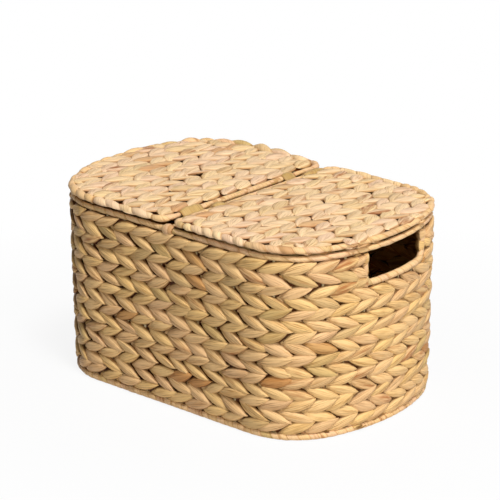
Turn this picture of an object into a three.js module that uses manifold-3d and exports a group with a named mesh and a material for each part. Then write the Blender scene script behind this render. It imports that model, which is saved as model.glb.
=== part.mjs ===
// Picnic basket of leaf strands woven on a wire frame, with two lids hinged on a middle crossbar.
// Millimetres, +Z up, +X towards the right-hand end, -Y to the front, origin under the middle of the base.
import * as THREE from 'three';
import { mergeVertices } from 'three/addons/utils/BufferGeometryUtils.js';
import Module from 'manifold-3d';

const wasm = await Module();
wasm.setup();

// Plan of the basket: straight long sides, round corners and bowed ends
const LENGTH = 380;
const WIDTH = 250;
const END_RADIUS = 211;
const CORNER_RADIUS = 76;
const TAPER = 3; // how far the foot of the wall stands inside its top, all round

// Woven wall and the stakes inside it
const WALL_THICKNESS = 11;
const ROW_PITCH = 11.85;
const LOWER_ROWS = 12;
const UPPER_ROWS = 3; // rows that the hand holes interrupt
const STAKES_PER_QUARTER = 11;
const STAKE_RADIUS = 1.3;
const STAKE_INSET = 5; // from the wall's outer face to the stakes and to the rim's middle

// Relief of the weave: leaf pads over the stakes, grooves between rows, and pits where the pads' ends part
const ROW_GROOVE = 2;
const WEAVE_PIT = 4.2;
const LID_PIT = 3.4;
const LID_PIT_REACH = 6; // half of a pit's length and width
const PIT_LEAD = 8; // from a stake to the pit beyond it, along the row

// Frame wire and the leaf strip wound on it
const WIRE_RADIUS = 2;
const WELD_LAP = 1; // how far each half of a bent wire runs past the joint with the other
const WRAP_THICKNESS = 1.45;
const WRAP_OPENING = THREE.MathUtils.degToRad(58); // half of the gap in the strip where stakes come in

// Hand holes: their uprights take the places of stakes, counted from the middle of the end to each side
const HOLE_FRONT_STAKES = 2;
const HOLE_BACK_STAKES = 3;
const HOLE_BEND = 8;

// Woven floor and its wires
const FLOOR_THICKNESS = 6.7;
const FLOOR_WIRE_PITCH = 24;

// Lids
const LID_THICKNESS = 8.6;
const LID_INSET = 0.6;
const LID_STAKE_PITCH = 24;
const HINGE_OFFSET = 7; // from the middle of the basket to each lid's seam rod
const HINGE_CORNER = 12;
const HINGE_CLEARANCE = 0.8; // between a lid's weave and its seam rod, clear of the straps
const WRAP_TAIL = 2; // how far a lid's wound strips run on to its straight edges

// Leaf straps that hang the lids on the crossbar, and the lashings at the crossbar's ends
const STRAP_THICKNESS = 1.5;
const BROAD_STRAP = 30;
const NARROW_STRAP = 16;
const LEFT_STRAP_FROM_FRONT = 43; // from the outer face of the front or the back to a strap's middle
const LEFT_STRAP_FROM_BACK = 59;
const RIGHT_STRAP_FROM_FRONT = 70;
const RIGHT_STRAP_FROM_BACK = 33;
const LASHING_WIDTH = 14;
const LASHING_THICKNESS = 0.9;

// Clearance between pieces that touch
const FIT = 0.3;

// Facets
const WIRE_SIDES = 6;
const WRAP_SIDES = 8;
const CORNER_STEPS = 5;
const END_STEPS = 6;
const BEND_STEPS = 3;
const STRAP_STEPS = 7;
const PIT_SIDES = 4;

// Heights, from the base up
const WRAP_RADIUS = WIRE_RADIUS + FIT + WRAP_THICKNESS;
const WRAP_CORNER = WRAP_RADIUS / Math.cos(Math.PI / WRAP_SIDES);
const BASE_Z = WRAP_RADIUS;
const WALL_BOTTOM = 2 * WRAP_RADIUS + FIT;
const WALL_SPLIT = WALL_BOTTOM + LOWER_ROWS * ROW_PITCH;
const UPPER_BOTTOM = WALL_SPLIT + FIT;
const WALL_TOP = UPPER_BOTTOM + UPPER_ROWS * ROW_PITCH;
const HOLE_ROD_Z = WALL_SPLIT + FIT + WRAP_RADIUS;
const TOP_ROW_Z = WALL_TOP - ROW_PITCH / 2;
const RIM_Z = WALL_TOP + FIT + WRAP_RADIUS;
const LID_BOTTOM = RIM_Z + WRAP_RADIUS + FIT;
const LID_Z = LID_BOTTOM + LID_THICKNESS / 2;
const LID_TOP = LID_BOTTOM + LID_THICKNESS;

// Plan values
const HALF_LENGTH = LENGTH / 2;
const HALF_WIDTH = WIDTH / 2;
const END_CENTRE = HALF_LENGTH - END_RADIUS;
const CORNER_Y = HALF_WIDTH - CORNER_RADIUS;
const CORNER_X = END_CENTRE + Math.sqrt((END_RADIUS - CORNER_RADIUS) ** 2 - CORNER_Y ** 2);
const CORNER_ANGLE = Math.atan2(CORNER_Y, CORNER_X - END_CENTRE);
const QUARTER_TURN = Math.PI / 2;

// Lid plan values
const LID_WIRE_INSET = LID_INSET + WRAP_RADIUS;
const LID_WIRE_Y = HALF_WIDTH - LID_WIRE_INSET;
const HINGE_CORNER_X = HINGE_OFFSET + HINGE_CORNER;
const HINGE_CORNER_Y = LID_WIRE_Y - HINGE_CORNER;
const LID_WEAVE_X = HINGE_OFFSET + WRAP_RADIUS + HINGE_CLEARANCE;
const LID_STAKES = 2 * Math.floor(HINGE_CORNER_Y / LID_STAKE_PITCH + 0.5); // on the straight of the seam rod
const lidStakeYs = Array.from({ length: LID_STAKES }, (_, i) => (i - (LID_STAKES - 1) / 2) * LID_STAKE_PITCH);

const BIG = 2 * LENGTH; // reaches past the whole basket in cuts

// Colours and finishes
const finish = (color, roughness, metalness = 0) => new THREE.MeshStandardMaterial({ color, roughness, metalness });
const leafWeave = finish(0xd2a46c, 0.7);
const leafWrap = finish(0xdcb583, 0.65);
const leafStrap = finish(0xc8a569, 0.6);
const frameWire = finish(0xd9d2c0, 0.45, 0.6);

// A three.js geometry as a closed solid
function solid(geometry) {
  const bare = new THREE.BufferGeometry();
  bare.setAttribute('position', geometry.getAttribute('position'));
  if (geometry.index) bare.setIndex(geometry.index);
  const merged = mergeVertices(bare, 1e-3);
  const mesh = new wasm.Mesh({
    numProp: 3,
    vertProperties: new Float32Array(merged.getAttribute('position').array),
    triVerts: new Uint32Array(merged.index.array),
  });
  return new wasm.Manifold(mesh);
}

const join = (solids) => solids.reduce((whole, next) => whole.add(next));
const cut = (body, tools) => tools.reduce((left, tool) => left.subtract(tool), body);

// A solid as a named mesh
function piece(name, body, material) {
  const { vertProperties, triVerts } = body.getMesh();
  const geometry = new THREE.BufferGeometry();
  geometry.setAttribute('position', new THREE.BufferAttribute(vertProperties, 3));
  geometry.setIndex(new THREE.BufferAttribute(triVerts, 1));
  geometry.computeVertexNormals();
  const mesh = new THREE.Mesh(geometry, material);
  mesh.name = name;
  return mesh;
}

function box(low, high) {
  const size = new THREE.Vector3().subVectors(high, low);
  const geometry = new THREE.BoxGeometry(size.x, size.y, size.z);
  geometry.translate((low.x + high.x) / 2, (low.y + high.y) / 2, (low.z + high.z) / 2);
  return solid(geometry);
}

// A closed solid through rings of points along an axis, each ring in order of its runs, with flat ends
function skin(rings, loop) {
  const points = rings.flat().map((spot) => spot.point);
  const triangles = [];
  const runAt = (ring, i) => ring[i % ring.length].run + (i < ring.length ? 0 : loop);
  let start = 0;
  for (let k = 0; k + 1 < rings.length; k++) {
    const [ring, next] = [rings[k], rings[k + 1]];
    const nextStart = start + ring.length;
    let i = 0;
    let j = 0;
    while (i < ring.length || j < next.length) {
      const here = start + (i % ring.length);
      const there = nextStart + (j % next.length);
      const along = i < ring.length && (j === next.length || runAt(ring, i + 1) <= runAt(next, j + 1));
      if (along) i += 1;
      else j += 1;
      triangles.push(here, along ? start + (i % ring.length) : nextStart + (j % next.length), there);
    }
    start = nextStart;
  }
  for (const [ring, from, turn] of [[rings[0], 0, -1], [rings.at(-1), start, 1]]) {
    const middle = points.push(centreOf(ring)) - 1;
    ring.forEach((_, i) => {
      const edge = [from + i, from + ((i + 1) % ring.length)];
      triangles.push(middle, ...(turn > 0 ? edge : edge.reverse()));
    });
  }
  const geometry = new THREE.BufferGeometry().setFromPoints(points);
  geometry.setIndex(triangles);
  return solid(geometry);
}

function centreOf(ring) {
  const sum = ring.reduce((total, spot) => total.add(spot.point), new THREE.Vector3());
  return sum.divideScalar(ring.length);
}

// A path through its own stations, so that a sweep has a section exactly at each of them
class Route extends THREE.Curve {
  constructor(stations) {
    super();
    this.stations = stations;
  }
  getPoint(t, target = new THREE.Vector3()) {
    const along = t * (this.stations.length - 1);
    const from = Math.min(Math.floor(along), this.stations.length - 2);
    return target.lerpVectors(this.stations[from], this.stations[from + 1], along - from);
  }
  getPointAt(u, target) {
    return this.getPoint(u, target);
  }
  getTangentAt(u, target) {
    return this.getTangent(u, target);
  }
  getSpacedPoints() {
    return this.stations;
  }
}

// A section swept along stations. On a level route section x points down and y to the route's left.
function sweep(section, stations) {
  const options = { steps: stations.length - 1, bevelEnabled: false, extrudePath: new Route(stations) };
  return solid(new THREE.ExtrudeGeometry(section, options));
}

const polar = (radius, angle) => new THREE.Vector2(radius * Math.cos(angle), radius * Math.sin(angle));

function roundShape(radius) {
  return new THREE.Shape(Array.from({ length: WIRE_SIDES }, (_, i) => polar(radius, (2 * Math.PI * i) / WIRE_SIDES)));
}

// A hole that clears a wire of the given radius on every facet
const clearShape = (radius) => roundShape((radius + FIT) / Math.cos(Math.PI / WIRE_SIDES));

const wireRun = (stations) => sweep(roundShape(WIRE_RADIUS), stations);
const stakeRun = (from, to) => sweep(roundShape(STAKE_RADIUS), [from, to]);
const stakeHole = (from, to) => sweep(clearShape(STAKE_RADIUS), [from, to]);

// Most of an eight-sided ring, open towards the angle where stakes come in
function wrapSection(inner, outer, openAngle) {
  const corner = Math.cos(Math.PI / WRAP_SIDES);
  const points = [polar(outer, openAngle + WRAP_OPENING)];
  const inside = [polar(inner, openAngle + WRAP_OPENING)];
  for (let i = 1; i < WRAP_SIDES - 1; i++) {
    const angle = openAngle + ((i + 0.5) * 2 * Math.PI) / WRAP_SIDES;
    points.push(polar(outer / corner, angle));
    inside.push(polar(inner / corner, angle));
  }
  points.push(polar(outer, openAngle - WRAP_OPENING));
  inside.push(polar(inner, openAngle - WRAP_OPENING));
  return new THREE.Shape([...points, ...inside.reverse()]);
}

const OPEN_DOWN = 0;
const OPEN_LEFT = QUARTER_TURN;
const OPEN_UP = Math.PI;
const wrapRun = (stations, openAngle) =>
  sweep(wrapSection(WIRE_RADIUS + FIT, WRAP_RADIUS, openAngle), stations);

const at = (x, y, z) => new THREE.Vector3(x, y, z);

function arc(x, y, radius, from, to, steps) {
  return Array.from({ length: steps + 1 }, (_, i) => {
    const point = polar(radius, from + ((to - from) * i) / steps);
    return new THREE.Vector2(x + point.x, y + point.y);
  });
}

// The right-hand end of the plan, from the front straight to the back straight, set in from the outer face
function planEnd(inset) {
  const corner = CORNER_RADIUS - inset;
  return [
    ...arc(CORNER_X, -CORNER_Y, corner, -QUARTER_TURN, -CORNER_ANGLE, CORNER_STEPS),
    ...arc(END_CENTRE, 0, END_RADIUS - inset, -CORNER_ANGLE, CORNER_ANGLE, END_STEPS).slice(1, -1),
    ...arc(CORNER_X, CORNER_Y, corner, CORNER_ANGLE, QUARTER_TURN, CORNER_STEPS),
  ];
}

const mirrored = (points) => points.map((p) => new THREE.Vector2(-p.x, p.y)).reverse();
const level = (points, z) => points.map((p) => at(p.x, p.y, z));
const outline = (inset) => [...planEnd(inset), ...mirrored(planEnd(inset))];

// A wire all round the plan, welded from two halves that overlap on the long sides
function ringWire(inset, z) {
  const y = HALF_WIDTH - inset;
  const right = [at(-WELD_LAP, -y, z), ...level(planEnd(inset), z), at(-WELD_LAP, y, z)];
  const left = [at(WELD_LAP, y, z), ...level(mirrored(planEnd(inset)), z), at(WELD_LAP, -y, z)];
  return join([wireRun(right), wireRun(left)]);
}

// Leaf strip wound all round, with its ends butted at the middle of the front
function ringWrap(inset, z, openAngle) {
  const y = HALF_WIDTH - inset;
  const stations = [at(FIT / 2, -y, z), ...level(outline(inset), z), at(-FIT / 2, -y, z)];
  return wrapRun(stations, openAngle);
}

// Where the plan, set in from the outer face, has a given y at the right-hand end
function planX(y, inset) {
  const across = Math.abs(y);
  const end = END_RADIUS - inset;
  if (across <= end * Math.sin(CORNER_ANGLE)) return END_CENTRE + Math.sqrt(end ** 2 - y ** 2);
  return CORNER_X + Math.sqrt((CORNER_RADIUS - inset) ** 2 - (across - CORNER_Y) ** 2);
}

// Outward direction of the plan at a point near its outline
function planNormal(x, y) {
  const out = new THREE.Vector2(0, Math.abs(y));
  const fromEnd = Math.atan2(Math.abs(y), Math.abs(x) - END_CENTRE);
  if (Math.abs(x) > CORNER_X && fromEnd <= CORNER_ANGLE) out.set(Math.abs(x) - END_CENTRE, Math.abs(y));
  else if (Math.abs(x) > CORNER_X) out.set(Math.abs(x) - CORNER_X, Math.abs(y) - CORNER_Y);
  out.normalize();
  return out.set(out.x * Math.sign(x), out.y * Math.sign(y));
}

const taperAt = (z) => TAPER * THREE.MathUtils.clamp((TOP_ROW_Z - z) / (TOP_ROW_Z - WALL_BOTTOM), 0, 1);

// The line of the stakes, measured from the middle of the front towards the right-hand end
const CORNER_RUN = (CORNER_RADIUS - STAKE_INSET) * (QUARTER_TURN - CORNER_ANGLE);
const QUARTER = CORNER_X + CORNER_RUN + (END_RADIUS - STAKE_INSET) * CORNER_ANGLE;
const STAKE_PITCH = QUARTER / STAKES_PER_QUARTER;

function quarterPoint(run, inset) {
  if (run <= CORNER_X) return new THREE.Vector2(run, inset - HALF_WIDTH);
  if (run <= CORNER_X + CORNER_RUN) {
    const turn = (run - CORNER_X) / (CORNER_RADIUS - STAKE_INSET) - QUARTER_TURN;
    return polar(CORNER_RADIUS - inset, turn).add(new THREE.Vector2(CORNER_X, -CORNER_Y));
  }
  const turn = (run - CORNER_X - CORNER_RUN) / (END_RADIUS - STAKE_INSET) - CORNER_ANGLE;
  return polar(END_RADIUS - inset, turn).add(new THREE.Vector2(END_CENTRE, 0));
}

// A point of the wall at a run along the stakes' line, a height and an inset from the outer face
function wallPoint(run, z, inset) {
  const quarter = Math.floor(run / QUARTER);
  const rest = run - quarter * QUARTER;
  const p = quarterPoint(quarter % 2 ? QUARTER - rest : rest, inset + taperAt(z));
  const x = quarter < 2 ? p.x : -p.x;
  const y = quarter % 4 === 0 || quarter % 4 === 3 ? p.y : -p.y;
  return at(x, y, z);
}

const stakePoint = (run, z) => wallPoint(run, z, STAKE_INSET);

const fromEndMiddle = (places) => QUARTER + places * STAKE_PITCH;
const HOLE_STAKES = HOLE_FRONT_STAKES + HOLE_BACK_STAKES;
const holeRuns = Array.from({ length: HOLE_STAKES }, (_, i) => fromEndMiddle(i + 0.5 - HOLE_FRONT_STAKES));
const allRuns = Array.from({ length: 4 * STAKES_PER_QUARTER }, (_, i) => (i + 0.5) * STAKE_PITCH);
const inHole = (run) => {
  const fromRight = run <= 2 * QUARTER ? run : 4 * QUARTER - run;
  return fromRight > holeRuns[0] - STAKE_PITCH / 2 && fromRight < holeRuns.at(-1) + STAKE_PITCH / 2;
};

// Base: edge ring with the floor's wires, the strip wound on the ring, and the woven floor
const BASE_INSET = STAKE_INSET + TAPER;
const FLOOR_REACH = HALF_WIDTH - BASE_INSET - WRAP_RADIUS - FIT;
const FLOOR_WIRES = 2 * Math.floor(FLOOR_REACH / FLOOR_WIRE_PITCH) + 1;
const floorRuns = Array.from({ length: FLOOR_WIRES }, (_, i) => {
  const y = (i - (FLOOR_WIRES - 1) / 2) * FLOOR_WIRE_PITCH;
  return [at(-planX(y, BASE_INSET), y, BASE_Z), at(planX(y, BASE_INSET), y, BASE_Z)];
});

function floorWeave() {
  const shape = new THREE.Shape(outline(BASE_INSET + WRAP_RADIUS + FIT));
  const plate = new THREE.ExtrudeGeometry(shape, { depth: FLOOR_THICKNESS, bevelEnabled: false });
  plate.translate(0, 0, BASE_Z - FLOOR_THICKNESS / 2);
  return cut(solid(plate), floorRuns.map(([from, to]) => stakeHole(from, to)));
}

// Wall: the space inside it, from one height to another
function wallSpace(low, high) {
  const shape = new THREE.Shape(outline(WALL_THICKNESS));
  const space = new THREE.ExtrudeGeometry(shape, { depth: high - low, bevelEnabled: false });
  space.translate(0, 0, low);
  const points = space.getAttribute('position');
  for (let i = 0; i < points.count; i++) {
    const inward = planNormal(points.getX(i), points.getY(i)).multiplyScalar(-taperAt(points.getZ(i)));
    points.setXY(i, points.getX(i) + inward.x, points.getY(i) + inward.y);
  }
  return solid(space);
}

// Rings of the wall's outer face: over the stakes alone, or with a pit beyond each of them too
const wallRing = (z, inset) => allRuns.map((run) => ({ run, point: wallPoint(run, z, inset) }));
const pitRing = (z) =>
  wallRing(z, ROW_GROOVE).flatMap((spot) => {
    const run = spot.run + PIT_LEAD;
    return [spot, { run, point: wallPoint(run, z, WEAVE_PIT) }];
  });

// Rows of the wall, counted from its foot, with a channel for each stake. The rows lean up and down by turns,
// and every second line between them has the pits.
function wallRows(firstRow, rows, bottom) {
  const rings = [];
  for (let i = 0; i <= rows; i++) {
    const z = bottom + i * ROW_PITCH;
    const line = firstRow + i;
    rings.push(line > 0 && line % 2 === 0 ? pitRing(z) : wallRing(z, ROW_GROOVE));
    if (i < rows) rings.push(wallRing(z + ROW_PITCH / 2, 0));
  }
  const below = bottom - FIT;
  const above = bottom + rows * ROW_PITCH + FIT;
  const channels = allRuns.map((run) => stakeHole(stakePoint(run, below), stakePoint(run, above)));
  return cut(skin(rings, 4 * QUARTER), [wallSpace(below, above), ...channels]);
}

const crossbarY = HALF_WIDTH - STAKE_INSET;

// The rows beside the hand holes, on the front (side -1) or the back (side 1)
function upperRows(rows, side) {
  const front = stakePoint(holeRuns[0], WALL_TOP).y - WRAP_RADIUS - FIT;
  const back = stakePoint(holeRuns.at(-1), WALL_SPLIT).y + WRAP_RADIUS + FIT;
  const low = side < 0 ? at(-BIG, -BIG, -BIG) : at(-BIG, back, -BIG);
  const high = side < 0 ? at(BIG, front, BIG) : at(BIG, BIG, BIG);
  const half = LASHING_WIDTH / 2 + FIT;
  const floor = RIM_Z - WRAP_RADIUS - 2 * FIT - LASHING_THICKNESS;
  const notch = box(at(-half, -BIG, floor), at(half, BIG, BIG));
  return rows.intersect(box(low, high)).subtract(notch);
}

// Hand hole frame: up one side, along the foot and up the other, in runs along the wall and heights
function holeStations() {
  const top = RIM_Z - WRAP_RADIUS - FIT;
  const first = holeRuns[0];
  const last = holeRuns.at(-1);
  const bendZ = HOLE_ROD_Z + HOLE_BEND;
  const downBend = arc(first + HOLE_BEND, bendZ, HOLE_BEND, Math.PI, 1.5 * Math.PI, BEND_STEPS);
  const upBend = arc(last - HOLE_BEND, bendZ, HOLE_BEND, 1.5 * Math.PI, 2 * Math.PI, BEND_STEPS);
  const foot = holeRuns.slice(1, -1).map((run) => new THREE.Vector2(run, HOLE_ROD_Z));
  const flat = [new THREE.Vector2(first, top), ...downBend, ...foot, ...upBend, new THREE.Vector2(last, top)];
  return flat.map((p) => stakePoint(p.x, p.y));
}

const holeStakeTop = (run) =>
  run === holeRuns[0] || run === holeRuns.at(-1) ? HOLE_ROD_Z + HOLE_BEND + WIRE_RADIUS : HOLE_ROD_Z;

function holeWire() {
  const stakes = holeRuns.map((run) => stakeRun(stakePoint(run, WALL_BOTTOM), stakePoint(run, holeStakeTop(run))));
  return join([wireRun(holeStations()), ...stakes]);
}

function holeWrap() {
  const holes = holeRuns.map((run) => stakeHole(stakePoint(run, WALL_BOTTOM), stakePoint(run, holeStakeTop(run))));
  return cut(wrapRun(holeStations(), OPEN_DOWN), holes);
}

// Crossbar between the two long sides of the rim, and the lashings at its ends
const crossbarEnd = crossbarY - WRAP_RADIUS - FIT;
const crossbarRun = [at(0, -crossbarEnd, RIM_Z), at(0, crossbarEnd, RIM_Z)];

function eightSides(apothem) {
  const corner = apothem / Math.cos(Math.PI / WRAP_SIDES);
  return Array.from({ length: WRAP_SIDES }, (_, i) => polar(corner, ((i + 0.5) * 2 * Math.PI) / WRAP_SIDES));
}

function crossbarWrap() {
  const section = new THREE.Shape(eightSides(WRAP_RADIUS));
  section.holes.push(new THREE.Path(eightSides(WIRE_RADIUS + FIT)));
  return sweep(section, crossbarRun);
}

function lashing(side) {
  const inner = WRAP_RADIUS + FIT;
  const section = wrapSection(inner, inner + LASHING_THICKNESS, OPEN_UP);
  const half = LASHING_WIDTH / 2;
  const band = sweep(section, [at(-half, side * crossbarY, RIM_Z), at(half, side * crossbarY, RIM_Z)]);
  return band.subtract(sweep(new THREE.Shape(eightSides(inner)), crossbarRun));
}

// Outline of a band pulled round two rods, in x and z
function bandOutline(first, firstRadius, second, secondRadius) {
  const apart = new THREE.Vector2().subVectors(second, first);
  const heading = apart.angle();
  const spread = Math.acos((firstRadius - secondRadius) / apart.length());
  const far = arc(first.x, first.y, firstRadius, heading + spread, heading + 2 * Math.PI - spread, STRAP_STEPS);
  const near = arc(second.x, second.y, secondRadius, heading - spread, heading + spread, STRAP_STEPS);
  return [...far, ...near];
}

// A leaf strap round the crossbar and a lid's seam rod
function strap(side, y, width) {
  const rod = new THREE.Vector2(side * HINGE_OFFSET, LID_Z);
  const bar = new THREE.Vector2(0, RIM_Z);
  const rodRadius = WIRE_RADIUS + FIT;
  const barRadius = WRAP_CORNER + FIT;
  const outside = bandOutline(rod, rodRadius + STRAP_THICKNESS, bar, barRadius + STRAP_THICKNESS);
  const shape = new THREE.Shape(outside);
  shape.holes.push(new THREE.Path(bandOutline(rod, rodRadius, bar, barRadius)));
  const band = new THREE.ExtrudeGeometry(shape, { depth: width, bevelEnabled: false });
  band.rotateX(QUARTER_TURN);
  band.translate(0, y + width / 2, 0);
  return solid(band);
}

// Lid: stations of its frame wire, modelled on the right-hand side
const hingeBend = (side, from, to) =>
  arc(HINGE_CORNER_X, side * HINGE_CORNER_Y, HINGE_CORNER, from, to, BEND_STEPS);
const frontBend = hingeBend(-1, Math.PI, 1.5 * Math.PI);
const backBend = hingeBend(1, QUARTER_TURN, Math.PI);
const LID_FRONT_MIDDLE = (HINGE_CORNER_X + CORNER_X) / 2;

function lidWire(straps) {
  const nearEnd = at(LID_FRONT_MIDDLE + WELD_LAP, -LID_WIRE_Y, LID_Z);
  const near = [at(HINGE_OFFSET, WELD_LAP, LID_Z), ...level(frontBend, LID_Z), nearEnd];
  const end = level(planEnd(LID_WIRE_INSET), LID_Z);
  const back = level(backBend, LID_Z);
  const farStart = at(LID_FRONT_MIDDLE - WELD_LAP, -LID_WIRE_Y, LID_Z);
  const far = [farStart, ...end, ...back, at(HINGE_OFFSET, -WELD_LAP, LID_Z)];
  return join([wireRun(near), wireRun(far), ...lidStakeRuns(straps).map(([from, to]) => stakeRun(from, to))]);
}

// Stakes across a lid: those behind a strap stop short of the seam rod
function lidStakeRuns(straps) {
  return lidStakeYs.map((y) => {
    const reach = STAKE_RADIUS + FIT;
    const behind = straps.some((s) => Math.abs(y - s.y) < s.width / 2 + reach);
    const from = behind ? LID_WEAVE_X + FIT : HINGE_OFFSET;
    return [at(from, y, LID_Z), at(planX(y, LID_WIRE_INSET), y, LID_Z)];
  });
}

// Pits in a lid's top, beyond each stake on every second line between rows, clear of the wires round the lid
function lidPits() {
  const inset = LID_WIRE_INSET + WRAP_RADIUS + FIT;
  const last = planX(0, inset);
  const rows = 2 * Math.round((last - LID_WEAVE_X) / ROW_PITCH / 2);
  const pits = [];
  for (let line = 2; line < rows; line += 2) {
    const x = LID_WEAVE_X + ((last - LID_WEAVE_X) * line) / rows;
    for (const stakeY of lidStakeYs) {
      const y = stakeY + PIT_LEAD;
      const reach = Math.abs(y) + LID_PIT_REACH;
      if (reach > HALF_WIDTH - inset || planX(reach, inset) < x + LID_PIT_REACH) continue;
      const pit = new THREE.ConeGeometry(LID_PIT_REACH, LID_PIT + FIT, PIT_SIDES);
      pit.rotateX(-QUARTER_TURN);
      pit.translate(x, y, LID_TOP + (FIT - LID_PIT) / 2);
      pits.push(solid(pit));
    }
  }
  return pits;
}

// Woven lid: folds over the wire along its straight edges and stops at the wound rods elsewhere
function lidWeave(straps) {
  const bend = HINGE_CORNER - WRAP_RADIUS - HINGE_CLEARANCE;
  const edgeY = HALF_WIDTH - LID_INSET;
  const innerY = HINGE_CORNER_Y + bend;
  const startX = HINGE_CORNER_X + WRAP_TAIL + FIT;
  const endX = CORNER_X - WRAP_TAIL - FIT;
  const end = planEnd(LID_WIRE_INSET + WRAP_RADIUS + FIT);
  const front = arc(HINGE_CORNER_X, -HINGE_CORNER_Y, bend, Math.PI, 1.5 * Math.PI, BEND_STEPS);
  const half = [
    ...front,
    new THREE.Vector2(startX, -innerY),
    new THREE.Vector2(startX, -edgeY),
    new THREE.Vector2(endX, -edgeY),
    new THREE.Vector2(endX, end[0].y),
  ];
  const otherHalf = half.map((p) => new THREE.Vector2(p.x, -p.y)).reverse();
  const shape = new THREE.Shape([...half, ...end, ...otherHalf]);
  const plate = new THREE.ExtrudeGeometry(shape, { depth: LID_THICKNESS, bevelEnabled: false });
  plate.translate(0, 0, LID_BOTTOM);
  const edgeHoles = [-1, 1].map((side) => {
    const y = side * LID_WIRE_Y;
    return sweep(clearShape(WIRE_RADIUS), [at(HINGE_CORNER_X, y, LID_Z), at(CORNER_X, y, LID_Z)]);
  });
  const stakeHoles = lidStakeRuns(straps).map(([from, to]) => stakeHole(from, to));
  return cut(solid(plate), [...edgeHoles, ...stakeHoles, ...lidPits()]);
}

// A lid's pieces, modelled on the right and mirrored for the left
function lid(name, side, straps) {
  const group = new THREE.Group();
  group.scale.x = side;
  const [front, back] = straps;
  const low = (s) => s.y - s.width / 2 - FIT;
  const high = (s) => s.y + s.width / 2 + FIT;
  const seam = (y) => at(HINGE_OFFSET, y, LID_Z);
  const edge = (x, y) => at(x, y, LID_Z);
  const tailX = HINGE_CORNER_X + WRAP_TAIL;
  const endX = CORNER_X - WRAP_TAIL;
  const backRun = [edge(tailX, LID_WIRE_Y), ...level(backBend, LID_Z), seam(high(back))];
  const frontRun = [seam(low(front)), ...level(frontBend, LID_Z), edge(tailX, -LID_WIRE_Y)];
  const endRun = [edge(endX, -LID_WIRE_Y), ...level(planEnd(LID_WIRE_INSET), LID_Z), edge(endX, LID_WIRE_Y)];
  group.add(
    piece(`${name}_wire_frame`, lidWire(straps), frameWire),
    piece(`${name}_weave`, lidWeave(straps), leafWeave),
    piece(`${name}_end_wrap`, wrapRun(endRun, OPEN_LEFT), leafWrap),
    piece(`${name}_seam_wrap_front`, wrapRun(frontRun, OPEN_LEFT), leafWrap),
    piece(`${name}_seam_wrap_middle`, wrapRun([seam(low(back)), seam(high(front))], OPEN_LEFT), leafWrap),
    piece(`${name}_seam_wrap_back`, wrapRun(backRun, OPEN_LEFT), leafWrap),
  );
  return group;
}

const leftStraps = [
  { y: LEFT_STRAP_FROM_FRONT - HALF_WIDTH, width: BROAD_STRAP },
  { y: HALF_WIDTH - LEFT_STRAP_FROM_BACK, width: NARROW_STRAP },
];
const rightStraps = [
  { y: RIGHT_STRAP_FROM_FRONT - HALF_WIDTH, width: NARROW_STRAP },
  { y: HALF_WIDTH - RIGHT_STRAP_FROM_BACK, width: BROAD_STRAP },
];

function basketBody() {
  const group = new THREE.Group();
  const rowsBesideHoles = wallRows(LOWER_ROWS, UPPER_ROWS, UPPER_BOTTOM);
  const freeStakes = allRuns
    .filter((run) => !inHole(run))
    .map((run) => stakeRun(stakePoint(run, WALL_BOTTOM), stakePoint(run, RIM_Z)));
  const floorWires = floorRuns.map(([from, to]) => stakeRun(from, to));
  group.add(
    piece('base_wire_frame', join([ringWire(BASE_INSET, BASE_Z), ...floorWires]), frameWire),
    piece('base_edge_wrap', ringWrap(BASE_INSET, BASE_Z, OPEN_LEFT), leafWrap),
    piece('floor_weave', floorWeave(), leafWeave),
    piece('rim_and_stake_wires', join([ringWire(STAKE_INSET, RIM_Z), ...freeStakes]), frameWire),
    piece('wall_weave_lower', wallRows(0, LOWER_ROWS, WALL_BOTTOM), leafWeave),
    piece('wall_weave_upper_front', upperRows(rowsBesideHoles, -1), leafWeave),
    piece('wall_weave_upper_back', upperRows(rowsBesideHoles, 1), leafWeave),
    piece('rim_wrap', ringWrap(STAKE_INSET, RIM_Z, OPEN_DOWN), leafWrap),
    piece('crossbar_wire', wireRun(crossbarRun), frameWire),
    piece('crossbar_wrap', crossbarWrap(), leafWrap),
    piece('crossbar_lashing_front', lashing(-1), leafStrap),
    piece('crossbar_lashing_back', lashing(1), leafStrap),
  );
  for (const [hand, side] of [['right', 1], ['left', -1]]) {
    const end = new THREE.Group();
    end.scale.x = side;
    end.add(piece(`${hand}_hand_hole_wire`, holeWire(), frameWire));
    end.add(piece(`${hand}_hand_hole_wrap`, holeWrap(), leafWrap));
    group.add(end);
  }
  for (const [hand, side, straps] of [['left', -1, leftStraps], ['right', 1, rightStraps]]) {
    ['front', 'back'].forEach((place, i) => {
      const { y, width } = straps[i];
      group.add(piece(`${hand}_lid_strap_${place}`, strap(side, y, width), leafStrap));
    });
  }
  return group;
}

const basket = new THREE.Group();
basket.name = 'picnic_basket';
basket.add(basketBody(), lid('left_lid', -1, leftStraps), lid('right_lid', 1, rightStraps));

export default basket;
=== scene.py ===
"""Picnic basket of leaf strands twined on a wire frame, with two lids hung on a middle crossbar."""
import bisect
import math
import random

import bmesh
import bpy
from mathutils import Matrix, Vector


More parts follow.
